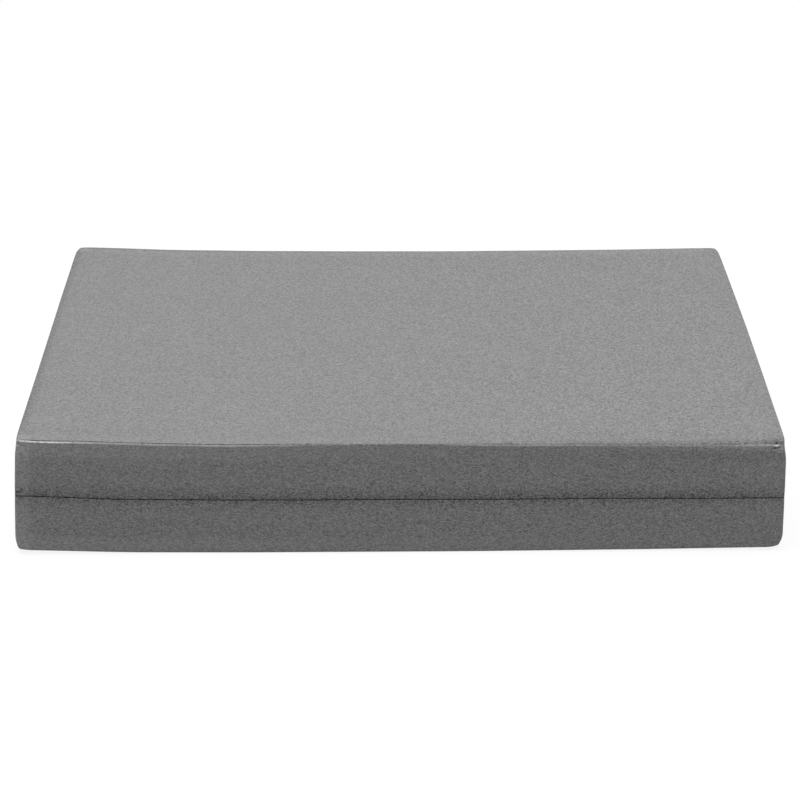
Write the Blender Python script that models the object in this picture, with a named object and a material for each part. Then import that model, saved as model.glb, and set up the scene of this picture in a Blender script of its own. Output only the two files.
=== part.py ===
"""Head block for floor work: two closed-cell foam slabs glued face to face.

Metres, +Z up. The origin is the centre of the underside, +X runs along the
block's length and +Y across it.
"""

import math
from itertools import pairwise

import bmesh
import bpy

# Overall plan of the block, at its outermost walls
BLOCK_LENGTH = 0.305
BLOCK_WIDTH = 0.205

# Build-up through the height
SLAB_THICKNESS = 0.0241
GLUE_THICKNESS = 0.0002
GLUE_CLEARANCE = 0.0003  # between the glue film and each slab

# Rounded edges, shaped after the slabs were glued
UPRIGHT_RADIUS = 0.0018  # the four upright edges, seen from above
RIM_RADIUS = 0.0015  # round the top face and the underside
CORNER_RADIUS = 0.005  # the eight corners, where the upright edges widen out
CORNER_HEIGHT = 0.007  # how far from the outer face they start to widen

# Seam at half height, where the squeezed foam draws in towards the glue
TUCK_DEPTH = 0.0002
TUCK_HEIGHT = 0.0042
LIP_RADIUS = 0.0003  # the edge of each glued face
GLUE_SETBACK = 0.0005  # from the flat of the glued faces to the film's edge

ARC_SEGMENTS = 10  # round each upright edge
CORNER_SEGMENTS = 5  # along the height of each corner
RIM_SEGMENTS = 6
TUCK_SEGMENTS = 5
LIP_SEGMENTS = 3
SHARPEST_ARC = 0.0003  # where an inset uses up the arc's own radius
SMOOTH_ANGLE = math.radians(32)

# Signs of x and y at the four corners, anticlockwise
CORNERS = ((1, 1), (-1, 1), (-1, -1), (1, -1))

UPPER_FOAM_GREY = (0.29, 0.29, 0.29, 1.0)
LOWER_FOAM_GREY = (0.28, 0.28, 0.28, 1.0)
GLUE_GREY = (0.03, 0.03, 0.03, 1.0)
FOAM_ROUGHNESS = 0.85
GLUE_ROUGHNESS = 0.5


def clear_scene():
    for obj in list(bpy.data.objects):
        bpy.data.objects.remove(obj)


def foam_or_glue(name, colour, roughness):
    """A plain non-metallic material of this colour."""
    material = bpy.data.materials.new(name)
    material.use_nodes = True
    shader = material.node_tree.nodes["Principled BSDF"]
    shader.inputs["Base Color"].default_value = colour
    shader.inputs["Roughness"].default_value = roughness
    shader.inputs["Metallic"].default_value = 0.0
    return material


def arc_radius(height):
    """Plan radius of the upright edges at this height over the glued face."""
    start = SLAB_THICKNESS - CORNER_HEIGHT
    share = max(height - start, 0.0) / CORNER_HEIGHT
    return UPRIGHT_RADIUS + (CORNER_RADIUS - UPRIGHT_RADIUS) * share**2


def plan_outline(inset, height):
    """Points of a slab's plan, anticlockwise, drawn in evenly by inset."""
    radius = max(arc_radius(height) - inset, SHARPEST_ARC)
    centre_x = BLOCK_LENGTH / 2 - inset - radius
    centre_y = BLOCK_WIDTH / 2 - inset - radius
    points = []
    for quarter, (side_x, side_y) in enumerate(CORNERS):
        for step in range(ARC_SEGMENTS + 1):
            angle = math.pi / 2 * (quarter + step / ARC_SEGMENTS)
            x = side_x * centre_x + radius * math.cos(angle)
            y = side_y * centre_y + radius * math.sin(angle)
            points.append((x, y))
    return points


def lip_curve():
    """(inset, height) round the edge of the glued face, up to the tuck."""
    curve = []
    for step in range(LIP_SEGMENTS):
        angle = math.pi / 2 * step / LIP_SEGMENTS
        inset = TUCK_DEPTH + LIP_RADIUS * (1 - math.sin(angle))
        curve.append((inset, LIP_RADIUS * (1 - math.cos(angle))))
    return curve


def tuck_curve():
    """(inset, height) of the arc by which the wall swells out of the seam."""
    rise = TUCK_HEIGHT - LIP_RADIUS
    radius = (rise**2 + TUCK_DEPTH**2) / (2 * TUCK_DEPTH)
    curve = []
    for step in range(TUCK_SEGMENTS):
        left = rise * (1 - step / TUCK_SEGMENTS)
        inset = radius - math.sqrt(radius**2 - left**2)
        curve.append((inset, TUCK_HEIGHT - left))
    return curve


def wall_curve():
    """(inset, height) up the plain wall, where the corners start to widen."""
    start = SLAB_THICKNESS - CORNER_HEIGHT
    rise = CORNER_HEIGHT - RIM_RADIUS
    curve = [(0.0, TUCK_HEIGHT)]
    for step in range(CORNER_SEGMENTS):
        curve.append((0.0, start + rise * step / CORNER_SEGMENTS))
    return curve


def rim_curve():
    """(inset, height) of the quarter round between wall and outer face."""
    curve = []
    for step in range(RIM_SEGMENTS + 1):
        angle = math.pi / 2 * step / RIM_SEGMENTS
        inset = RIM_RADIUS * (1 - math.cos(angle))
        height = SLAB_THICKNESS - RIM_RADIUS * (1 - math.sin(angle))
        curve.append((inset, height))
    return curve


def loft(name, profile):
    """A closed mesh through the plan outline at each (inset, height)."""
    bm = bmesh.new()
    rings = []
    for inset, height in profile:
        outline = plan_outline(inset, height)
        rings.append([bm.verts.new((x, y, height)) for x, y in outline])
    for lower, upper in pairwise(rings):
        for i in range(len(lower)):
            before = i - 1
            bm.faces.new((lower[before], lower[i], upper[i], upper[before]))
    bm.faces.new(reversed(rings[0]))
    bm.faces.new(rings[-1])
    mesh = bpy.data.meshes.new(name)
    bm.to_mesh(mesh)
    bm.free()
    mesh.shade_smooth()
    mesh.set_sharp_from_angle(angle=SMOOTH_ANGLE)
    return mesh


def slab_mesh(name):
    """A slab with its glued face down, at z = 0."""
    return loft(name, lip_curve() + tuck_curve() + wall_curve() + rim_curve())


def film_mesh(name):
    """The glue film about z = 0, short of the slabs' lips all round."""
    inset = TUCK_DEPTH + LIP_RADIUS + GLUE_SETBACK
    half = GLUE_THICKNESS / 2
    return loft(name, [(inset, -half), (inset, half)])


def add_piece(name, mesh, material, parent, height, turned=0.0):
    """An object at this height over the seam, turned about X."""
    mesh.materials.append(material)
    piece = bpy.data.objects.new(name, mesh)
    piece.parent = parent
    piece.location.z = height
    piece.rotation_euler.x = turned
    bpy.context.scene.collection.objects.link(piece)
    return piece


def add_seam():
    """An empty at the middle of the glue line, which carries all the pieces."""
    seam = bpy.data.objects.new("seam", None)
    seam.location.z = SLAB_THICKNESS + GLUE_CLEARANCE + GLUE_THICKNESS / 2
    seam.empty_display_size = BLOCK_WIDTH / 4
    bpy.context.scene.collection.objects.link(seam)
    return seam


def build():
    clear_scene()
    seam = add_seam()
    face = GLUE_THICKNESS / 2 + GLUE_CLEARANCE
    upper_foam = foam_or_glue("upper_foam", UPPER_FOAM_GREY, FOAM_ROUGHNESS)
    lower_foam = foam_or_glue("lower_foam", LOWER_FOAM_GREY, FOAM_ROUGHNESS)
    glue = foam_or_glue("glue", GLUE_GREY, GLUE_ROUGHNESS)
    add_piece("upper_foam_slab", slab_mesh("upper_foam_slab"), upper_foam, seam, face)
    # The same slab turned over, glued face up
    lower = slab_mesh("lower_foam_slab")
    add_piece("lower_foam_slab", lower, lower_foam, seam, -face, math.pi)
    add_piece("glue_film", film_mesh("glue_film"), glue, seam, 0.0)


build()
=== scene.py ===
# Foam head block: two grey closed-cell slabs glued face to face, on a pale studio floor
import math

import bmesh
import bpy
from mathutils import Matrix, Vector
from mathutils.geometry import intersect_point_line


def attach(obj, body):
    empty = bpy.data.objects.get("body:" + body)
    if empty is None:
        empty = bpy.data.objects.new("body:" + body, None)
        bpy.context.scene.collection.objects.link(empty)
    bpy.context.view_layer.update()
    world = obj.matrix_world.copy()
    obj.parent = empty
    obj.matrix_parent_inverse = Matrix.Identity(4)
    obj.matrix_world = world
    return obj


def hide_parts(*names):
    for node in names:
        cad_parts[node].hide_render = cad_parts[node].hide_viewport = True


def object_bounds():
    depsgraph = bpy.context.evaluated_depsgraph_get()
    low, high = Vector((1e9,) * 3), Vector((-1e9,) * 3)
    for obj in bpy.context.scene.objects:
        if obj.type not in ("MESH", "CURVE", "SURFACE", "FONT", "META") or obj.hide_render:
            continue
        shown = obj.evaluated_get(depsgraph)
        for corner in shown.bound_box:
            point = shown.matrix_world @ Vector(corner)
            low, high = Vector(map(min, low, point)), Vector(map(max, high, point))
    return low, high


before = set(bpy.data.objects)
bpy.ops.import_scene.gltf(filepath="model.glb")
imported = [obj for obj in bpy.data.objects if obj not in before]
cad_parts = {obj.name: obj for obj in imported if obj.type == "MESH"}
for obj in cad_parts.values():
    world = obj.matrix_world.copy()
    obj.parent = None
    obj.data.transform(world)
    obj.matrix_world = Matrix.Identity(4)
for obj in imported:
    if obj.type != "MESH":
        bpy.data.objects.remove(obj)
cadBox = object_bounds()
print("frame loaded")

mm = 0.001
nearly = 0.01 * mm  # closer than this counts as the same place
alongShare = 0.9  # an edge runs along an axis when more than this share of its length does
sharpAngle = 1.0  # in radians; an edge that isn't rounded yet turns by more than this

blockLow, blockHigh = cadBox
blockSize = blockHigh - blockLow
seamHeight = blockHigh.z / 2


# selection and mesh helpers

def clearSelection():
    bpy.ops.object.select_all(action="DESELECT")


def pick(piece, kind, wanted):
    # in edit mode: selects only the vertices, edges or faces for which wanted() is true
    bpy.ops.mesh.select_mode(type=kind)
    bpy.ops.mesh.select_all(action="DESELECT")
    mesh = bmesh.from_edit_mesh(piece.data)
    elements = {"VERT": mesh.verts, "EDGE": mesh.edges, "FACE": mesh.faces}[kind]
    for element in elements:
        if wanted(element):
            element.select_set(True)
    mesh.select_flush_mode()
    bmesh.update_edit_mesh(piece.data)


def runsAlong(edge, axis):
    step = edge.verts[1].co - edge.verts[0].co
    return abs(step[axis]) > alongShare * step.length


def isUprightCorner(edge):
    x, y, _ = edge.verts[0].co
    atCorner = abs(abs(x) - blockSize.x / 2) < nearly and abs(abs(y) - blockSize.y / 2) < nearly
    return atCorner and runsAlong(edge, 2)


def isOutlineAt(edge, height):
    level = all(abs(vert.co.z - height) < nearly for vert in edge.verts)
    return level and len(edge.link_faces) == 2 and edge.calc_face_angle() > sharpAngle


def applyModifier(piece, kind, **settings):
    modifier = piece.modifiers.new(kind.lower(), kind)
    for key, value in settings.items():
        setattr(modifier, key, value)
    clearSelection()
    bpy.context.view_layer.objects.active = piece
    piece.select_set(True)
    bpy.ops.object.modifier_apply(modifier=modifier.name)


def addBoard(name, bottom, top):
    # a board of the block's length and width, left in edit mode
    clearSelection()
    bpy.ops.mesh.primitive_cube_add(
        size=1, location=(0, 0, (bottom + top) / 2),
        scale=(blockSize.x, blockSize.y, top - bottom))
    board = bpy.context.object
    board.name = board.data.name = name
    bpy.ops.object.transform_apply(location=True, rotation=True, scale=True)
    bpy.ops.object.mode_set(mode="EDIT")
    return board


def cutAcross(axis, places):
    # cuts the whole piece by a plane at each place
    across = Vector((0, 0, 0))
    across[axis] = 1
    for place in places:
        bpy.ops.mesh.select_all(action="SELECT")
        bpy.ops.mesh.bisect(plane_co=across * place, plane_no=across)


def evenly(length, cells):
    return [length * (cell / cells - 0.5) for cell in range(1, cells)]


def besideWalls(length, distances):
    return [side * (length / 2 - distance * mm) for side in (-1, 1) for distance in distances]


def roundEdges(radius, segments, profile=0.5):
    bpy.ops.mesh.bevel(offset=radius, offset_type="OFFSET", segments=segments,
                       profile=profile, affect="EDGES", clamp_overlap=False)


def moveSoftly(step, reach, falloff="SMOOTH"):
    # moves the selected vertices, and those within reach by less and less
    bpy.ops.transform.translate(value=step, use_proportional_edit=True,
                                proportional_edit_falloff=falloff, proportional_size=reach)


def drawIn(inset):
    # moves the selected rings in towards the middle of the block
    bpy.ops.transform.resize(
        value=(1 - 2 * inset / blockSize.x, 1 - 2 * inset / blockSize.y, 1),
        center_override=(0, 0, 0))


def waves(length):
    texture = bpy.data.textures.new("waves", type="CLOUDS")
    texture.noise_scale = length
    texture.noise_depth = 1
    return texture


# the two slabs

# Rounding, grid and skin of one slab; both are cut the same
slabShape = {
    "glueGap": 0.36 * mm,  # between the two glued faces
    "uprightRadius": 1.7 * mm,  # upright edges, seen from above
    "uprightSegments": 8,
    "rimSegments": 8,
    "rimProfile": 0.45,  # 0.5 would be a true arc, and handling has flattened it
    "lipRadius": 0.2 * mm,  # edge of the glued face
    "lipSegments": 3,
    "cellsLong": 50,
    "cellsWide": 34,
    "edgeCuts": (1.4, 1.8, 2.3, 2.9, 3.7, 4.7),  # closer cuts beside each wall, in mm from it
    # cuts round the wall, in mm from the glued face
    "rows": (0.8, 1.6, 2.4, 3.2, 4.0, 4.8, 5.6, 8.5, 12.5, 15.5, 17.5, 19.0, 20.3, 21.5, 22.5, 23.2),
    "tuckDepth": 0.12 * mm,  # how far the wall draws in at the seam
    "tuckHeight": 5.6 * mm,
    "tuckRows": 7,  # the rows up to tuckHeight
    "tipRadius": 1.6 * mm,  # the part of a corner that moves as a whole when it wears
    "waveDepth": 0.1 * mm,  # gentle unevenness of the skin
    "waveLength": 34 * mm,
}

# cornerSteps: how far the tips of the outer corners go in along each axis in mm, for front left, front right,
# back left and back right; less and less as far as cornerReach
# sheetPlace: the part of the foam sheet that the slab is cut from
# seamShade: how dark the painted shade beside the seam is, and how far it reaches in mm
# paintedBandLight: painted light and shade on the sides beside the outer face, how much lighter or darker
# they are at the left and right end
upperSlab = {
    "name": "upperFoam",
    "node": "upper_foam_slab",
    "slot": "upper_foam",
    "side": 1,
    "rimRadius": 0.65 * mm,
    "cornerSteps": ((0.5, 0.7, -0.3), (0.9, 1.0, 0.8), (0.9, 0.3, 0.1), (0.75, 0.35, 0.05)),
    "cornerReach": 7.5 * mm,
    "grey": 0.298,
    "sheetPlace": (0.31, 0.17, 0.05),
    "seamShade": (0.36, 9.0),
    "paintedBandLight": (1.13, 0.885),
}
lowerSlab = {
    "name": "lowerFoam",
    "node": "lower_foam_slab",
    "slot": "lower_foam",
    "side": -1,
    "rimRadius": 1.1 * mm,
    "cornerSteps": ((0.9, 0.4, 0.2), (1.1, 0.7, 0.3), (1.3, 0.9, 0.7), (1.3, 0.9, 0.7)),
    "cornerReach": 5.8 * mm,
    "grey": 0.295,
    "sheetPlace": (0.77, 0.43, 0.29),
    "seamShade": (0.22, 7.0),
    "paintedBandLight": (1.14, 1.0),
}


def addSlab(slab, shape):
    side = slab["side"]
    glued = seamHeight + side * shape["glueGap"] / 2
    outer = blockHigh.z if side > 0 else blockLow.z
    piece = addBoard(slab["name"], min(glued, outer), max(glued, outer))
    pick(piece, "EDGE", isUprightCorner)
    roundEdges(shape["uprightRadius"], shape["uprightSegments"])
    pick(piece, "EDGE", lambda edge: isOutlineAt(edge, outer))
    roundEdges(slab["rimRadius"], shape["rimSegments"], shape["rimProfile"])
    pick(piece, "EDGE", lambda edge: isOutlineAt(edge, glued))
    roundEdges(shape["lipRadius"], shape["lipSegments"])
    cutAcross(0, evenly(blockSize.x, shape["cellsLong"]) + besideWalls(blockSize.x, shape["edgeCuts"]))
    cutAcross(1, evenly(blockSize.y, shape["cellsWide"]) + besideWalls(blockSize.y, shape["edgeCuts"]))
    cutAcross(2, [glued + side * row * mm for row in shape["rows"]])
    bpy.ops.object.mode_set(mode="OBJECT")
    notePlaces(piece, side, glued)

    bpy.ops.object.mode_set(mode="EDIT")
    tuckWall(piece, side, glued, shape)
    ownMarks = [mark for mark in marks if mark["slab"] == side]
    if side > 0:
        wearFrontRim(piece)
    for mark in ownMarks:
        pressMark(piece, mark)
    wearCorners(piece, slab, outer, shape["tipRadius"])
    bpy.ops.object.mode_set(mode="OBJECT")

    paintMarkShade(piece, ownMarks)
    unevenSkin(piece, shape)
    print(slab["name"], "modelled:", len(piece.data.polygons), "faces")
    return piece


def notePlaces(piece, side, glued):
    # for the finish: the place in the straight block, the distance from the glued face in mm,
    # and the painted highlights and shade along the front rim
    for name, kind in (("straight", "FLOAT_VECTOR"), ("fromSeam", "FLOAT"), ("paintedLightShade", "FLOAT")):
        piece.data.attributes.new(name, kind, "POINT")
    straight, fromSeam, paintedLightShade = (piece.data.attributes[name] for name in ("straight", "fromSeam", "paintedLightShade"))
    for vert in piece.data.vertices:
        straight.data[vert.index].vector = vert.co
        fromSeam.data[vert.index].value = side * (vert.co.z - glued) / mm
        if side > 0:
            paintedLightShade.data[vert.index].value = paintedLightShadeAt(vert.co)


def tuckWall(piece, side, glued, shape):
    # the wall draws in towards the seam, row by row
    drawn = 0.0
    for row in reversed(range(shape["tuckRows"])):
        reach = shape["rows"][row] * mm
        wanted = shape["tuckDepth"] * (1 - reach / shape["tuckHeight"]) ** 2
        pick(piece, "VERT", lambda vert: side * (vert.co.z - glued) < reach + nearly)
        drawIn(wanted - drawn)
        drawn = wanted


def wearCorners(piece, slab, outer, tipRadius):
    corners = [(signX, signY) for signY in (-1, 1) for signX in (-1, 1)]
    for (signX, signY), (stepX, stepY, stepZ) in zip(corners, slab["cornerSteps"]):
        tip = Vector((signX * blockSize.x / 2, signY * blockSize.y / 2, outer))
        pick(piece, "VERT", lambda vert: (vert.co - tip).length < tipRadius)
        step = Vector((-signX * stepX, -signY * stepY, -slab["side"] * stepZ)) * mm
        moveSoftly(step, slab["cornerReach"], "SHARP")


def unevenSkin(piece, shape):
    # gentle waves everywhere but at the seam, never proud of the block
    heights = [distance.value * mm for distance in piece.data.attributes["fromSeam"].data]
    skin = piece.vertex_groups.new(name="skin")
    for index, height in enumerate(heights):
        skin.add([index], min(1.0, max(0.0, height / shape["tuckHeight"])), "REPLACE")
    applyModifier(piece, "DISPLACE", texture=waves(shape["waveLength"]), texture_coords="LOCAL",
                  vertex_group="skin", strength=shape["waveDepth"], mid_level=1.0)
    piece.vertex_groups.clear()


# wear along the front rim of the upper slab, with painted highlights and shade on it

frontRim = {
    "depth": 0.7,  # a place deeper than this under both faces isn't on the rim, in mm
    # across: how strong each band is, in mm from the edge, over the top face or, below 0, down the wall
    # along: how much painted highlight or, below 0, painted shade it has, in mm along the block
    "bands": (
        {"across": ((-0.65, 0), (-0.4, 1), (0.2, 1), (0.8, 0)),  # painted highlight where the rim catches the light
         "along": ((-152, 0.65), (-134, 0.75), (-128, 0.4), (-120, 0.12), (-110, 0.08), (-65, 0.07),
                   (-55, 0.0), (128, 0.0), (134, 0.2), (140, 0.1), (147.4, 0.2), (148.6, 0.6),
                   (149.6, 0.5), (150.6, 0.0))},
        {"across": ((-0.65, 0), (-0.2, 1), (0.4, 1), (0.65, 0.4), (1.0, 0)),  # painted shade on the rim
         "along": ((-62, 0.0), (-45, -0.08), (-25, -0.3), (-5, -0.35), (16, -0.25), (28, -0.1),
                   (60, -0.06), (80, -0.12), (130, -0.1), (150, -0.04))},
        {"across": ((0.65, 0), (1.4, 1), (2.3, 1), (5.5, 0)),  # painted shade on the shoulder behind it
         "along": ((-20, 0.0), (60, -0.09), (150, -0.16))},
        {"across": ((-3.5, 0), (-2, 1), (-0.9, 1), (-0.4, 0)),  # painted light just below the edge
         "along": ((50, 0.0), (110, 0.09), (150, 0.1))},
    ),
    # a thin groove behind the edge, made from the first of slabShape's edgeCuts:
    # how far from the edge, how deep and how dark its painted shade is, at places in mm along the block
    "grooveAt": ((-152, 1.5), (-60, 1.4), (-45, 1.05), (-25, 0.95), (20, 0.9), (35, 0.8), (120, 0.8),
                 (150, 1.35)),
    "grooveDepth": ((-152, 0.35), (-60, 0.3), (-30, 0.12), (30, 0.1), (150, 0.12)),
    "grooveShade": ((-152, 0.35), (-146, 0.6), (-125, 0.55), (-60, 0.65), (-40, 0.45), (-23, 0.15),
                   (20, 0.12), (35, 0.42), (60, 0.45), (90, 0.36), (150, 0.28)),
    "grooveRow": 0.1,  # a place this near to the cut, in mm, moves with it
    # how far the rim has sunk, in mm, at places along the block; less and less as far as sagReach
    "sag": ((20, 0.0), (70, 0.22), (140, 0.4)),
    "sagReach": 5.0,
}


def between(table, place):
    # reads a value off a table of (place, value) pairs
    for (start, low), (end, high) in zip(table, table[1:]):
        if start <= place <= end:
            return low + (high - low) * (place - start) / (end - start)
    return table[0][1] if place < table[0][0] else table[-1][1]


def fromFrontEdge(place):
    # mm from the upper front edge, over the top face or, below 0, down the wall
    inset, depth = (place.y + blockSize.y / 2) / mm, (blockHigh.z - place.z) / mm
    return inset - depth if min(inset, depth) < frontRim["depth"] else math.inf


def inGroove(place):
    level = abs(place.z - blockHigh.z) < nearly
    return level and abs(fromFrontEdge(place) - slabShape["edgeCuts"][0]) < frontRim["grooveRow"]


def paintedLightShadeAt(place):
    # how much painted highlight or painted shade the front rim has here, with the groove's painted shade
    if inGroove(place):
        return -between(frontRim["grooveShade"], place.x / mm)
    return sum(between(band["across"], fromFrontEdge(place)) * between(band["along"], place.x / mm)
               for band in frontRim["bands"])


def wearFrontRim(piece):
    mesh = bmesh.from_edit_mesh(piece.data)
    for vert in mesh.verts:
        if inGroove(vert.co):
            inset = between(frontRim["grooveAt"], vert.co.x / mm)
            vert.co.y = inset * mm - blockSize.y / 2
            vert.co.z -= between(frontRim["grooveDepth"], vert.co.x / mm) * mm
        fromEdge = math.hypot(vert.co.y + blockSize.y / 2, vert.co.z - blockHigh.z) / mm
        share = max(0.0, 1 - fromEdge / frontRim["sagReach"])
        sag = between(frontRim["sag"], vert.co.x / mm) * share ** 2 * mm
        vert.co += Vector((0, sag / 2, -sag))
    bmesh.update_edit_mesh(piece.data)


# small creases, nicks and pits

# Places and sizes in mm; step moves the middle of a mark, and its surroundings within reach by less,
# and paintedShade is how much darker the mark is painted, shade in its crease or nick, or below 0 a painted
# highlight, on the scale of frontRim's bands
marks = (
    {"slab": 1, "path": ((-152.5, -101.3, 25.9), (-151.7, -102.2, 26.0), (-150.8, -102.5, 26.0),
                         (-149.5, -102.5, 27.4)),
     "width": 0.3, "step": (0.1, 0.6, 0), "reach": 0.5, "paintedShade": 0.12},
    {"slab": 1, "path": ((148.8, -100.5, 49), (149.0, -100.5, 49)),
     "width": 0.36, "step": (0, 0.1, -0.6), "reach": 0.5, "paintedShade": 0.42},
    {"slab": 1, "path": ((149.2, -101.8, 48.7), (149.9, -101.6, 48.8)),
     "width": 0.4, "step": (0, -0.1, 0.1), "reach": 0.5, "paintedShade": -0.4},
    {"slab": 1, "path": ((-151.9, -101.9, 47.4), (-150.9, -102.5, 46.9)),
     "width": 0.3, "step": (0.1, 0.3, 0), "reach": 0.5, "paintedShade": 0.12},
    {"slab": 1, "path": ((147.4, -102.5, 47.2), (148.3, -102.5, 47.4)),
     "width": 0.3, "step": (0, 0.5, 0), "reach": 0.4, "paintedShade": 0.12},
    {"slab": 1, "path": ((149.8, -102.5, 47.7), (150.1, -102.4, 47.7)),
     "width": 0.3, "step": (0, 0.5, 0), "reach": 0.4, "paintedShade": 0.12},
    {"slab": -1, "path": ((-150.3, -102.5, 23.5), (-149.4, -102.5, 23.8)),
     "width": 0.24, "step": (0, 0.5, 0), "reach": 0.5, "paintedShade": 0.08},
)
markGrid = {"surround": 1.2, "cuts": 2}  # the faces this near to a mark, in mm, are divided by so many cuts


def fromPath(place, path):
    nearest = math.inf
    for start, end in zip(path, path[1:]):
        _, share = intersect_point_line(place, start, end)
        on = Vector(start).lerp(Vector(end), min(1.0, max(0.0, share)))
        nearest = min(nearest, (place - on).length)
    return nearest


def pressMark(piece, mark):
    path = mark["path"]
    pick(piece, "FACE", lambda face: fromPath(face.calc_center_median() / mm, path) < markGrid["surround"])
    bpy.ops.mesh.subdivide(number_cuts=markGrid["cuts"])
    pick(piece, "VERT", lambda vert: fromPath(vert.co / mm, path) < mark["width"])
    moveSoftly(Vector(mark["step"]) * mm, mark["reach"] * mm)


# paints each mark's shade, or its highlight, into the rim's painted light and shade
def paintMarkShade(piece, ownMarks):
    straight, paintedLightShade = piece.data.attributes["straight"], piece.data.attributes["paintedLightShade"]
    for place, value in zip(straight.data, paintedLightShade.data):
        for mark in ownMarks:
            if fromPath(place.vector / mm, mark["path"]) < mark["width"]:
                value.value = -mark["paintedShade"]


# the line of dried glue between the slabs

glueLine = {
    "name": "glueLine",
    "node": "glue_film",
    "slot": "glue",
    "thickness": 0.28 * mm,
    "setback": 0.3 * mm,  # from the drawn-in wall to the glue's edge
    "beadDepth": 0.16 * mm,  # uneven edge where glue was squeezed out
    "beadLength": 7 * mm,
    "longEdge": 2 * mm,  # rim edges longer than this are divided again, for the uneven edge
    "edgeCuts": 3,
}


def addGlueLine(glue, shape):
    half = glue["thickness"] / 2

    def isRim(edge):
        return any(isOutlineAt(edge, seamHeight + step) for step in (-half, half))

    piece = addBoard(glue["name"], seamHeight - half, seamHeight + half)
    pick(piece, "EDGE", isUprightCorner)
    roundEdges(shape["uprightRadius"], shape["uprightSegments"])
    cutAcross(0, evenly(blockSize.x, shape["cellsLong"]))
    cutAcross(1, evenly(blockSize.y, shape["cellsWide"]))
    pick(piece, "EDGE", lambda edge: edge.calc_length() > glue["longEdge"] and isRim(edge))
    bpy.ops.mesh.subdivide(number_cuts=glue["edgeCuts"])
    pick(piece, "EDGE", isRim)
    bpy.ops.object.vertex_group_assign_new()
    bpy.ops.mesh.select_all(action="SELECT")
    drawIn(shape["tuckDepth"] + glue["setback"])
    bpy.ops.object.mode_set(mode="OBJECT")
    for axis in ("X", "Y"):
        applyModifier(piece, "DISPLACE", texture=waves(glue["beadLength"]), texture_coords="LOCAL",
                      vertex_group=piece.vertex_groups[0].name, direction=axis,
                      strength=glue["beadDepth"], mid_level=0.5)
    piece.vertex_groups.clear()
    print(glue["name"], "modelled:", len(piece.data.polygons), "faces")
    return piece


# the slight dish that the whole block has taken

dish = {
    # lifts in mm at even steps from the left end to the right
    "bottom": (1.70, 0.54, 0.10, 0.02, 0.02, 0.10, 0.37, 0.70, 1.20),
    "seam": (2.08, 0.42, -0.20, -0.45, -0.42, -0.58, -0.45, -0.68, -0.60),
    "topFront": (1.65, 0.6, -0.56, -0.6, -0.55, -0.94, -1.1, -1.35, -1.4),
    "topBack": (2.2, 0.75, -0.08, -0.48, -0.75, -0.76, -0.56, -0.25, 0.3),
    # how far the left and right ends stand out at each level, in mm
    "bottomEnds": (1.50, 0.35),
    "seamEnds": (-0.12, -0.38),
    "topFrontEnds": (-2.1, -1.25),
    "topBackEnds": (-0.8, -0.22),
    "midBulge": (0.0, 0.5),  # and how much further half way back
}


def addDish(dish):
    clearSelection()
    bpy.ops.object.add(type="LATTICE", location=(blockLow + blockHigh) / 2)
    cage = bpy.context.object
    cage.name = "dish"
    cage.scale = blockSize
    stations = len(dish["bottom"])
    cage.data.points_u, cage.data.points_v, cage.data.points_w = stations, 3, 3
    cage.data.interpolation_type_u = "KEY_CARDINAL"
    cage.data.interpolation_type_v = "KEY_CARDINAL"
    cage.data.interpolation_type_w = "KEY_LINEAR"
    for w, (front, back) in enumerate((("bottom", "bottom"), ("seam", "seam"), ("topFront", "topBack"))):
        for v in range(3):
            for u in range(stations):
                along = 2 * u / (stations - 1) - 1
                end = 1 if along > 0 else 0
                standOut = dish[front + "Ends"][end] * (1 - v / 2) + dish[back + "Ends"][end] * v / 2
                if v == 1:
                    standOut += dish["midBulge"][end]
                lift = dish[front][u] * (1 - v / 2) + dish[back][u] * v / 2
                point = cage.data.points[(w * 3 + v) * stations + u]
                point.co_deform = (
                    point.co.x + along * standOut * mm / blockSize.x,
                    point.co.y,
                    point.co.z + lift * mm / blockSize.z)
    return cage


def finishMesh(piece, cage):
    applyModifier(piece, "LATTICE", object=cage)
    bpy.ops.object.shade_smooth()
    applyModifier(piece, "WEIGHTED_NORMAL", keep_sharp=True)


# shader helpers

def newMaterial(name):
    material = bpy.data.materials.new(name)
    material.use_nodes = True
    return material, material.node_tree


def addNode(tree, kind, place, **settings):
    node = tree.nodes.new(kind)
    node.location = place
    for key, value in settings.items():
        setattr(node, key, value)
    return node


def feed(tree, socket, value):
    if isinstance(value, (int, float, tuple)):
        socket.default_value = value
    else:
        tree.links.new(value, socket)


def calc(tree, operation, place, *values, **settings):
    node = addNode(tree, "ShaderNodeMath", place, operation=operation, **settings)
    for socket, value in zip(node.inputs, values):
        feed(tree, socket, value)
    return node.outputs[0]


def ease(tree, place, value, low, high, atLow, atHigh):
    node = addNode(tree, "ShaderNodeMapRange", place, interpolation_type="SMOOTHSTEP")
    for name, number in (("Value", value), ("From Min", low), ("From Max", high),
                         ("To Min", atLow), ("To Max", atHigh)):
        feed(tree, node.inputs[name], number)
    return node.outputs["Result"]


def addNoise(tree, place, vector, scale, detail=2.0):
    node = addNode(tree, "ShaderNodeTexNoise", place)
    for name, value in (("Vector", vector), ("Scale", scale), ("Detail", detail)):
        feed(tree, node.inputs[name], value)
    return node.outputs["Fac"]


def readAttribute(tree, place, name, output):
    return addNode(tree, "ShaderNodeAttribute", place, attribute_name=name).outputs[output]


def paintGrey(tree, place, level, shader):
    # the same level in red, green and blue
    colour = addNode(tree, "ShaderNodeCombineColor", place)
    for socket in colour.inputs[:3]:
        feed(tree, socket, level)
    feed(tree, shader.inputs["Base Color"], colour.outputs[0])


def addBump(tree, place, height, distance, shader):
    bump = addNode(tree, "ShaderNodeBump", place)
    feed(tree, bump.inputs["Distance"], distance)
    feed(tree, bump.inputs["Height"], height)
    feed(tree, shader.inputs["Normal"], bump.outputs["Normal"])


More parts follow.
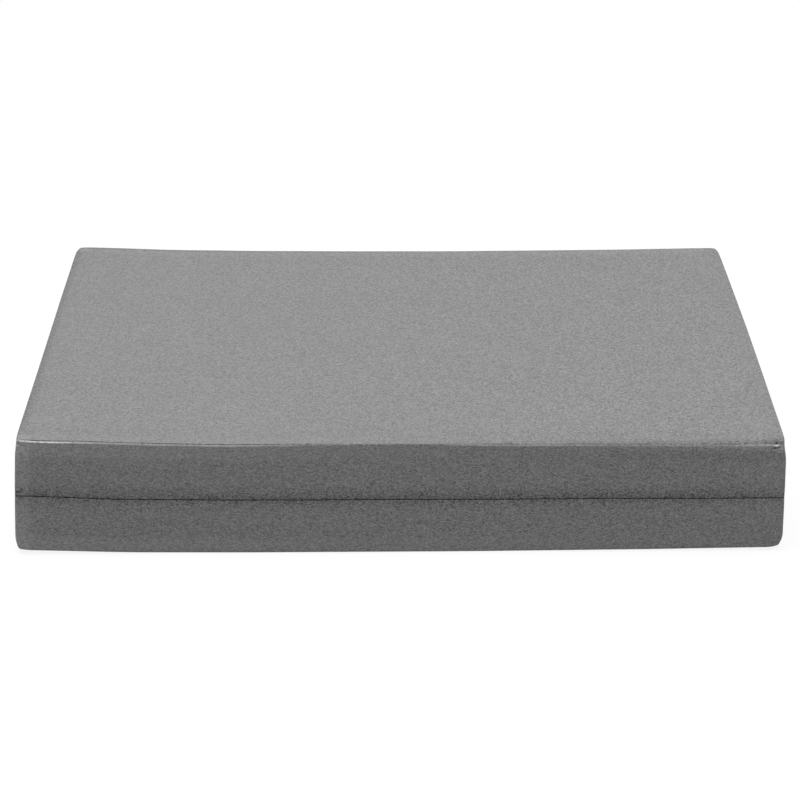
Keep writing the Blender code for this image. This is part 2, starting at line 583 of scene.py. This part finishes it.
def newGroup(name, vectors, numbers, outputs):
    # a node group with these inputs, the vectors first, and plain numbers as outputs
    group = bpy.data.node_groups.new(name, "ShaderNodeTree")
    for labels, direction, kind in ((vectors, "INPUT", "NodeSocketVector"),
                                    (numbers, "INPUT", "NodeSocketFloat"),
                                    (outputs, "OUTPUT", "NodeSocketFloat")):
        for label in labels:
            group.interface.new_socket(name=label, in_out=direction, socket_type=kind)
    source = addNode(group, "NodeGroupInput", (-1000, 0))
    result = addNode(group, "NodeGroupOutput", (800, 0))
    return group, source.outputs, result.inputs


def useGroup(tree, group, place, **values):
    node = addNode(tree, "ShaderNodeGroup", place, node_tree=group)
    for label, value in values.items():
        feed(tree, node.inputs[label], value)
    return node.outputs


# shared effects

# What a cell's tone is made of: its own shade, a finer speckle and how near its middle it is, with an
# offset that keeps the mean at about a half; and how far the pebbles stand out against the relief
grainMix = {"shade": 0.45, "speckle": 0.45, "pebble": 0.4, "offset": -0.135, "pebbleHeight": 0.5}


def grainGroup(mix):
    # closed foam cells: small pebbles, each a little lighter or darker than the next
    group, source, result = newGroup(
        "foamGrain", ("Vector",), ("Cells", "Relief", "Mottle"), ("Tone", "Height", "Patch"))
    cells = addNode(group, "ShaderNodeTexVoronoi", (-700, 200), feature="F1")
    feed(group, cells.inputs["Vector"], source["Vector"])
    feed(group, cells.inputs["Scale"], source["Cells"])
    speckle = addNoise(group, (-700, -100), source["Vector"], source["Cells"], 1.0)
    relief = addNoise(group, (-700, -400), source["Vector"], source["Relief"], 0.0)
    patch = addNoise(group, (-700, -700), source["Vector"], source["Mottle"], 3.0)
    shade = addNode(group, "ShaderNodeSeparateColor", (-450, 250))
    feed(group, shade.inputs[0], cells.outputs["Color"])
    pebble = calc(group, "SUBTRACT", (-500, -200), 1.0, cells.outputs["Distance"])
    mixed = calc(group, "MULTIPLY_ADD", (-200, 100), shade.outputs[0], mix["shade"],
                 calc(group, "MULTIPLY_ADD", (-350, 0), speckle, mix["speckle"], mix["offset"]))
    feed(group, result["Tone"], calc(group, "MULTIPLY_ADD", (0, 50), pebble, mix["pebble"], mixed))
    feed(group, result["Height"], calc(group, "MULTIPLY_ADD", (0, -200), pebble, mix["pebbleHeight"], relief))
    feed(group, result["Patch"], patch)
    return group


cornerSpan = (1.15, 1.6)  # the upright corners fade out between these, as shares of Start
wallFade = 1.5 * mm  # over the rounding of the rim, from the outer face to the sides


def skinGroup():
    # Skin: 1 on the rounded rims and corners, where the cells are closed over, fading to 0 on the flats
    # Corner: the same for the upright corners alone; Rim: 1 on the very edge; Wall: 1 on the sides
    # Band: 1 on the sides beside the top face and the underside; Ends: 1 on those faces at the block's ends
    group, source, result = newGroup(
        "edgeSkin", ("Vector", "HalfSize"), ("Middle", "Width", "Start", "End"),
        ("Skin", "Corner", "Rim", "Wall", "Band", "Ends"))
    place = addNode(group, "ShaderNodeSeparateXYZ", (-800, 100))
    half = addNode(group, "ShaderNodeSeparateXYZ", (-800, -200))
    feed(group, place.inputs[0], source["Vector"])
    feed(group, half.inputs[0], source["HalfSize"])
    height = calc(group, "SUBTRACT", (-600, -100), place.outputs[2], source["Middle"])
    inside = []
    for row, value in enumerate((place.outputs[0], place.outputs[1], height)):
        distance = calc(group, "ABSOLUTE", (-450, 200 - 150 * row), value)
        inside.append(calc(group, "SUBTRACT", (-300, 200 - 150 * row), half.outputs[row], distance))

    # a point on the surface is near an edge when it is near a second face as well
    upright = calc(group, "MAXIMUM", (-100, -50), inside[0], inside[1])
    second = calc(group, "MAXIMUM", (100, 0),
                  calc(group, "MINIMUM", (-100, 100), inside[0], inside[1]),
                  calc(group, "MINIMUM", (0, -100), upright, inside[2]))
    feed(group, result["Skin"], ease(group, (300, 0), second, source["Start"], source["End"], 1.0, 0.0))
    feed(group, result["Rim"], ease(group, (300, -400), second, 0.0, source["Width"], 1.0, 0.0))
    near, far = (calc(group, "MULTIPLY", (100, -250), source["Start"], share) for share in cornerSpan)
    feed(group, result["Corner"], ease(group, (300, -200), upright, near, far, 1.0, 0.0))
    wall = ease(group, (300, -600), inside[2], 0.0, wallFade, 0.0, 1.0)
    feed(group, result["Wall"], wall)
    besideOuter = ease(group, (300, -800), inside[2], source["Start"], source["End"], 1.0, 0.0)
    feed(group, result["Band"], calc(group, "MULTIPLY", (500, -700), wall, besideOuter))
    outerFace = calc(group, "SUBTRACT", (400, -900), 1.0, wall)
    besideEnds = ease(group, (300, -1000), inside[0], source["Start"], source["End"], 1.0, 0.0)
    feed(group, result["Ends"], calc(group, "MULTIPLY", (500, -900), outerFace, besideEnds))
    return group


# how often, per metre, and by how many mm the edge of the painted seam shade wanders
seamShadeDrift = {"perMetre": 160.0, "spread": 2.4}


def seamShadeGroup(drift):
    # 1 beside the seam, where shade is painted into the grey, fading unevenly to 0
    group, source, result = newGroup("paintedSeamShade", ("Vector",), ("Distance", "Reach"), ("Shaded",))
    wander = addNoise(group, (-700, -200), source["Vector"], drift["perMetre"])
    uneven = calc(group, "MULTIPLY_ADD", (-450, -100), wander, drift["spread"], -drift["spread"] / 2)
    distance = calc(group, "ADD", (-250, 0), source["Distance"], uneven)
    share = calc(group, "DIVIDE", (0, 0), distance, source["Reach"], use_clamp=True)
    near = calc(group, "SUBTRACT", (200, 0), 1.0, share)
    feed(group, result["Shaded"], calc(group, "MULTIPLY", (400, 0), near, near))
    return group


# the foam's finish

foamFinish = {
    "cells": 1700.0,  # per metre
    "flattened": 1.7,  # the sheet was pressed, so its cells are wider than high
    "relief": 650.0,
    "mottle": 45.0,
    "toneSpread": 1.0,  # lightest to darkest cell, as a share of the colour
    "patchSpread": 0.05,
    "unevenGrain": (0.87, 1.12),  # the sheet is smoother at the left end than at the right
    "wallGrain": (1.68, 1.42),  # and the sides, cut through the cells, are coarser than the pressed faces
    "skinStart": 4.3 * mm,  # the skin is smooth this far from an edge, and fades out by skinEnd
    "skinEnd": 9 * mm,
    # painted light and shade: how much lighter or darker, at the left and right end, than the rest:
    "paintedCornerLight": (1.15, 0.96),  # the upright corners, with painted light
    "paintedRimShade": (0.8, 0.985),  # the rims, painted darker where they turn from the light, up to rimWidth from the edge
    "rimWidth": 4.6 * mm,
    "endTone": (0.92, 0.925),  # the ends of the top face and the underside
    "paintedFrontShade": (0.965, 0.92),  # painted shade on the front of the top face, up to frontBand from its edge
    "frontBand": 18 * mm,
    "calmSkin": 0.12,  # how much weaker the speckle and grain are on the skin
    "tornSeam": 0.55,  # and how much stronger beside the seam
    "paintedLightLift": 1.7,  # the painted highlight on the rim is this much lighter than the rest
    "paintedLightPebbles": (2.5, -0.125),  # pebble height times the first plus the second breaks the painted light and shade up
    "grainDepth": 0.2 * mm,
    "roughness": (0.85, 0.6),  # on the flats and on the skin
    "specular": 0.2,
}


def leftToRight(tree, place, along, pair):
    # goes over smoothly from the first value at the left end to the second at the right end
    return ease(tree, place, along, -blockSize.x / 2, blockSize.x / 2, *pair)


def grainStrength(tree, finish, along, skinned, seamShaded):
    # how coarse the grain is here
    cut = leftToRight(tree, (-1150, 600), along, [coarser - 1 for coarser in finish["wallGrain"]])
    coarse = calc(tree, "MULTIPLY", (-750, 500),
                  leftToRight(tree, (-950, 450), along, finish["unevenGrain"]),
                  calc(tree, "MULTIPLY_ADD", (-900, 600), skinned["Wall"], cut, 1.0))
    calm = calc(tree, "MULTIPLY_ADD", (-800, 400), skinned["Skin"], -finish["calmSkin"], 1.0)
    torn = calc(tree, "MULTIPLY_ADD", (-700, 450), seamShaded["Shaded"], finish["tornSeam"], calm)
    return calc(tree, "MULTIPLY", (-600, 500), coarse, torn)


def paintedEdgeTone(tree, slab, finish, place, skinned):
    # painted light and shade: how much lighter or darker than the flats the corners, rims and ends are
    front = ease(tree, (-1000, -650), place[1], -blockSize.y / 2, finish["frontBand"] - blockSize.y / 2,
                 1.0, 0.0)
    topFront = calc(tree, "MULTIPLY", (-800, -300), front,
                    calc(tree, "SUBTRACT", (-900, -350), 1.0, skinned["Wall"]))
    otherRims = calc(tree, "MULTIPLY", (-700, -250), skinned["Rim"],
                     calc(tree, "SUBTRACT", (-800, -200), 1.0, front))
    tones = ((skinned["Corner"], finish["paintedCornerLight"]), (otherRims, finish["paintedRimShade"]),
             (skinned["Band"], slab["paintedBandLight"]), (topFront, finish["paintedFrontShade"]),
             (skinned["Ends"], finish["endTone"]))
    tone = 1.0
    for row, (mask, pair) in enumerate(tones):
        change = leftToRight(tree, (-950, -300 - 100 * row), place[0], [level - 1 for level in pair])
        tone = calc(tree, "MULTIPLY_ADD", (-500, -100 - 100 * row), mask, change, tone)
    return tone


def addPaintedLightShade(tree, finish, grained, tone):
    # the tone, with the painted highlights and shade of the front rim and the marks, broken up by the pebbles
    paintedLightShade = readAttribute(tree, (-1200, -700), "paintedLightShade", "Fac")
    patchy = calc(tree, "MULTIPLY", (-850, -750), grained["Patch"],
                  calc(tree, "MULTIPLY_ADD", (-950, -750), grained["Height"], *finish["paintedLightPebbles"]))
    uneven = calc(tree, "MULTIPLY", (-700, -700), paintedLightShade, patchy)
    return calc(tree, "MULTIPLY_ADD", (-350, -150), uneven, finish["paintedLightLift"], tone)


def foamMaterial(slab, finish, grain, skin, seamShade):
    material, tree = newMaterial(slab["name"])
    shader = tree.nodes["Principled BSDF"]
    feed(tree, shader.inputs["Specular IOR Level"], finish["specular"])
    where = addNode(tree, "ShaderNodeTexCoord", (-1400, 0))
    sheet = addNode(tree, "ShaderNodeMapping", (-1200, 200))
    feed(tree, sheet.inputs["Vector"], where.outputs["Object"])
    feed(tree, sheet.inputs["Location"], slab["sheetPlace"])
    feed(tree, sheet.inputs["Scale"], (1, 1, finish["flattened"]))
    grained = useGroup(tree, grain, (-950, 200), Vector=sheet.outputs[0],
                       Cells=finish["cells"], Relief=finish["relief"], Mottle=finish["mottle"])
    straight = readAttribute(tree, (-1400, -200), "straight", "Vector")
    skinned = useGroup(tree, skin, (-950, -100), Vector=straight, HalfSize=tuple(blockSize / 2),
                       Middle=seamHeight, Width=finish["rimWidth"],
                       Start=finish["skinStart"], End=finish["skinEnd"])
    place = addNode(tree, "ShaderNodeSeparateXYZ", (-1200, -300))
    feed(tree, place.inputs[0], straight)
    seamShadeDepth, reach = slab["seamShade"]
    seamShaded = useGroup(tree, seamShade, (-950, -500), Vector=sheet.outputs[0], Reach=reach,
                      Distance=readAttribute(tree, (-1200, -500), "fromSeam", "Fac"))

    # the grey, with painted shade beside the seam, speckled by its cells, and with painted light and shade at
    # the edges
    strength = grainStrength(tree, finish, place.outputs[0], skinned, seamShaded)
    spread = finish["toneSpread"]
    speckle = calc(tree, "MULTIPLY", (-500, 200), strength,
                   calc(tree, "MULTIPLY_ADD", (-700, 250), grained["Tone"], spread, -spread / 2))
    patches = calc(tree, "MULTIPLY", (-500, 50),
                   calc(tree, "SUBTRACT", (-700, 0), grained["Patch"], 0.5), finish["patchSpread"])
    tone = paintedEdgeTone(tree, slab, finish, place.outputs, skinned)
    light = calc(tree, "ADD", (-300, 150), addPaintedLightShade(tree, finish, grained, tone),
                 calc(tree, "ADD", (-400, 150), speckle, patches))
    grey = slab["grey"]
    seamShadedGrey = calc(tree, "MULTIPLY_ADD", (-500, -300), seamShaded["Shaded"], -seamShadeDepth * grey, grey)
    paintGrey(tree, (0, 150), calc(tree, "MULTIPLY", (-150, 150), light, seamShadedGrey), shader)

    flatRough, skinRough = finish["roughness"]
    feed(tree, shader.inputs["Roughness"],
         calc(tree, "MULTIPLY_ADD", (-300, -200), skinned["Skin"], skinRough - flatRough, flatRough))
    addBump(tree, (-200, -400), calc(tree, "MULTIPLY", (-400, -400), grained["Height"], strength),
            finish["grainDepth"], shader)
    return material


# the glue's finish

glueFinish = {
    "beads": 700.0,  # per metre
    "beadHeight": 0.08 * mm,
    "beadSpan": (0.3, 0.7),  # the noise below and above these is all hollow and all bead
    # this near-black is partly the glue's own colour and partly painted shade of the narrow gap between the
    # slabs
    "grey": (0.018, 0.048),  # in the hollows and on the beads
    "roughness": (0.35, 0.6),
}


def glueMaterial(finish):
    material, tree = newMaterial("driedGlue")
    shader = tree.nodes["Principled BSDF"]
    where = addNode(tree, "ShaderNodeTexCoord", (-900, 0)).outputs["Object"]
    beads = addNoise(tree, (-700, 0), where, finish["beads"])
    paintGrey(tree, (-250, 100), ease(tree, (-450, 100), beads, *finish["beadSpan"], *finish["grey"]), shader)
    feed(tree, shader.inputs["Roughness"],
         ease(tree, (-450, -100), beads, *finish["beadSpan"], *finish["roughness"]))
    addBump(tree, (-250, -300), beads, finish["beadHeight"], shader)
    return material


# build the block

cage = addDish(dish)
grain, skin, seamShade = grainGroup(grainMix), skinGroup(), seamShadeGroup(seamShadeDrift)

upper = addSlab(upperSlab, slabShape)
lower = addSlab(lowerSlab, slabShape)
glue = addGlueLine(glueLine, slabShape)
for piece in (upper, lower, glue):
    finishMesh(piece, cage)
bpy.data.objects.remove(cage)
print("block dished")

for piece, slab in ((upper, upperSlab), (lower, lowerSlab)):
    piece.data.materials.append(foamMaterial(slab, foamFinish, grain, skin, seamShade))
glue.data.materials.append(glueMaterial(glueFinish))
print("materials made")

for piece, facts in ((upper, upperSlab), (lower, lowerSlab), (glue, glueLine)):
    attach(piece, "root")
    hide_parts(facts["node"])


# studio

floorLook = {
    "size": 8.0,
    "grey": 0.63,
    "seenGrey": 0.14,  # the share of the floor's brightness that the camera sees shadows in
    "seenGlow": 0.89,  # and the rest, which shadows leave alone
    "shadowReach": (0.28, 0.5),  # the floor turns plain white to the camera between these distances
}


def backgroundRay(tree, place):
    # 1 for what the camera, a gloss or a clear piece sees directly
    ray = addNode(tree, "ShaderNodeLightPath", place).outputs
    x, y = place
    direct = calc(tree, "MAXIMUM", (x + 200, y), ray["Is Camera Ray"], ray["Is Glossy Ray"])
    return calc(tree, "MAXIMUM", (x + 400, y), direct, ray["Is Transmission Ray"])


def addMatte(tree, place, grey):
    matte = addNode(tree, "ShaderNodeBsdfDiffuse", place)
    feed(tree, matte.inputs["Color"], (grey, grey, grey, 1))
    return matte.outputs[0]


def addGlow(tree, place, strength):
    glow = addNode(tree, "ShaderNodeEmission", place)
    feed(tree, glow.inputs["Strength"], strength)
    return glow.outputs[0]


def mixShaders(tree, place, share, first, second):
    mixed = addNode(tree, "ShaderNodeMixShader", place)
    for socket, value in zip(mixed.inputs, (share, first, second)):
        feed(tree, socket, value)
    return mixed.outputs[0]


def addFloor(look):
    clearSelection()
    bpy.ops.mesh.primitive_plane_add(size=look["size"], location=(0, 0, blockLow.z))
    floor = bpy.context.object
    floor.name = "floor"
    material, tree = newMaterial("paleFloor")
    tree.nodes.remove(tree.nodes["Principled BSDF"])
    lifted = addNode(tree, "ShaderNodeAddShader", (0, 100))
    feed(tree, lifted.inputs[0], addMatte(tree, (-200, 100), look["seenGrey"]))
    feed(tree, lifted.inputs[1], addGlow(tree, (-200, 0), look["seenGlow"]))
    where = addNode(tree, "ShaderNodeNewGeometry", (-800, -200))
    far = addNode(tree, "ShaderNodeVectorMath", (-600, -200), operation="LENGTH")
    feed(tree, far.inputs[0], where.outputs["Position"])
    white = ease(tree, (-400, -200), far.outputs["Value"], *look["shadowReach"], 0.0, 1.0)
    seen = mixShaders(tree, (200, 0), white, lifted.outputs[0], addGlow(tree, (0, -100), 1.0))
    mixed = mixShaders(tree, (400, 100), backgroundRay(tree, (-400, 500)),
                       addMatte(tree, (-200, 200), look["grey"]), seen)
    feed(tree, tree.nodes["Material Output"].inputs["Surface"], mixed)
    floor.data.materials.append(material)


def addWorld(dome):
    world = bpy.data.worlds.new("studio")
    bpy.context.scene.world = world
    world.use_nodes = True
    tree = world.node_tree
    back = tree.nodes["Background"]
    feed(tree, back.inputs["Color"], (1, 1, 1, 1))
    feed(tree, back.inputs["Strength"],
         ease(tree, (-200, 0), backgroundRay(tree, (-800, 0)), 0.0, 1.0, dome, 1.0))


domeLight = 0.06  # what the world adds to the lamp; the camera sees it as white

# power in watts, size and place in metres, and the point that it faces
overhead = {"power": 69.5, "size": (2.2, 1.6), "place": (-0.1, -0.245, 2.6), "faces": (0, 0, 0)}


def addLamp(name, lamp):
    clearSelection()
    bpy.ops.object.light_add(type="AREA", location=lamp["place"])
    light = bpy.context.object
    light.name = name
    light.data.shape = "RECTANGLE"
    light.data.size, light.data.size_y = lamp["size"]
    light.data.energy = lamp["power"]
    aim = Vector(lamp["faces"]) - Vector(lamp["place"])
    light.rotation_euler = aim.to_track_quat("-Z", "Y").to_euler()


# fitted to the outline of the block in the photograph; lengths in metres and angles in radians
view = {
    "focalPixels": 2167.9,  # focal length, in pixels of the photograph
    "photoWidth": 800,
    "sensorWidth": 36,  # in mm
    "distance": 0.9510,
    "pitch": 0.4466,  # down from the level
    "turn": 0.0065,
    "roll": -0.0022,
    "target": (0.0005, 0, 0.01865),
}


def addCamera(view):
    clearSelection()
    bpy.ops.object.camera_add()
    camera = bpy.context.object
    camera.name = "camera"
    camera.data.lens = view["focalPixels"] / view["photoWidth"] * view["sensorWidth"]
    camera.data.sensor_width = view["sensorWidth"]
    around = Matrix.Rotation(-view["turn"], 4, "Z")
    tilt = Matrix.Rotation(math.pi / 2 - view["pitch"], 4, "X")
    roll = Matrix.Rotation(view["roll"], 4, "Z")
    back = tilt @ Vector((0, 0, view["distance"]))
    place = around @ Matrix.Translation(Vector(view["target"]) + back)
    camera.matrix_world = place @ tilt @ roll
    bpy.context.scene.camera = camera


addFloor(floorLook)
addWorld(domeLight)
addLamp("overhead", overhead)
addCamera(view)
bpy.context.scene.view_settings.view_transform = "Standard"
print("studio lit")
